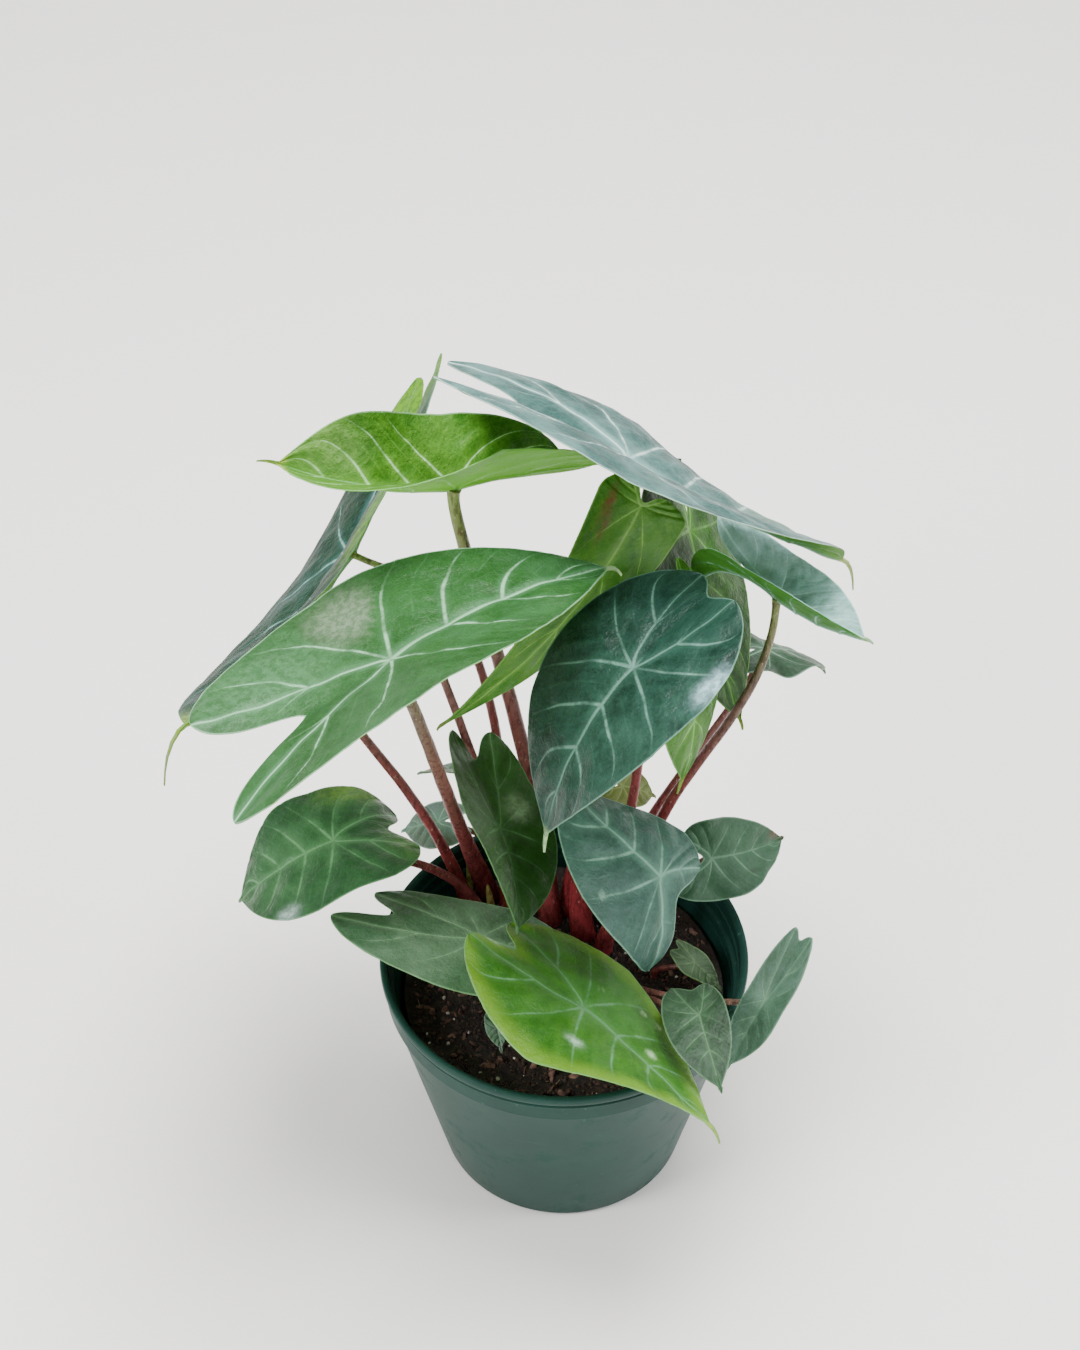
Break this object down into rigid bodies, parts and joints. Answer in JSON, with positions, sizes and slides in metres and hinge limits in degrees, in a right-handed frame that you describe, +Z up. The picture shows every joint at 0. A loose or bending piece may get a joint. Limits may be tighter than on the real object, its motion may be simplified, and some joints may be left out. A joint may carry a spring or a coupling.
{
  "type": "potted arrowhead-leaf house plant",
  "caption": "Potted aroid house plant with arrow-shaped veined leaves on slim stalks that stand in soil in a round plastic nursery pot.",
  "frame": {"origin": "centre of the pot's flat underside, where the pot's axis meets the surface it stands on", "axes": "+Z up along the pot's axis, -Y towards the viewer of the picture, +X to the viewer's right"},
  "size_m": [0.2834, 0.3071, 0.3928],
  "materials": {
    "pot_plastic": "satin green polypropylene with a glossier rolled lip",
    "soil_mix": "damp dark peat with bark crumbs and white perlite",
    "leaf_bright": "bright yellow-green young leaf, satin, pale veins",
    "leaf_green": "mid green leaf, satin, pale veins",
    "leaf_dark": "dark blue-green leaf, waxy, pale veins",
    "leaf_silver": "silvery blue-green leaf with sheen, pale veins",
    "stalk": "deep red at the foot, speckled pink to yellow-green at the blade"
  },
  "bodies": {
    "root": {"pot": "pot_plastic", "soil": "soil_mix", "blade_01": "leaf_bright", "stalk_01": "stalk", "blade_02": "leaf_silver", "stalk_02": "stalk", "blade_03": "leaf_green", "stalk_03": "stalk", "blade_04": "leaf_dark", "stalk_04": "stalk", "blade_05": "leaf_dark", "stalk_05": "stalk", "blade_06": "leaf_bright", "stalk_06": "stalk", "blade_07": "leaf_bright", "stalk_07": "stalk", "blade_08": "leaf_bright", "stalk_08": "stalk", "blade_09": "leaf_bright", "stalk_09": "stalk", "blade_10": "leaf_silver", "stalk_10": "stalk", "blade_11": "leaf_dark", "stalk_11": "stalk", "blade_12": "leaf_dark", "stalk_12": "stalk", "blade_13": "leaf_dark", "stalk_13": "stalk", "blade_14": "leaf_dark", "stalk_14": "stalk", "blade_15": "leaf_green", "stalk_15": "stalk", "blade_16": "leaf_bright", "stalk_16": "stalk", "blade_17": "leaf_dark", "stalk_17": "stalk", "blade_18": "leaf_dark", "stalk_18": "stalk", "blade_19": "leaf_silver", "stalk_19": "stalk", "blade_20": "leaf_silver", "stalk_20": "stalk", "blade_21": "leaf_silver", "stalk_21": "stalk", "blade_22": "leaf_dark", "stalk_22": "stalk", "blade_23": "leaf_dark", "stalk_23": "stalk", "blade_24": "leaf_dark", "stalk_24": "stalk", "blade_25": "leaf_green", "stalk_25": "stalk"}
  },
  "joints": []
}
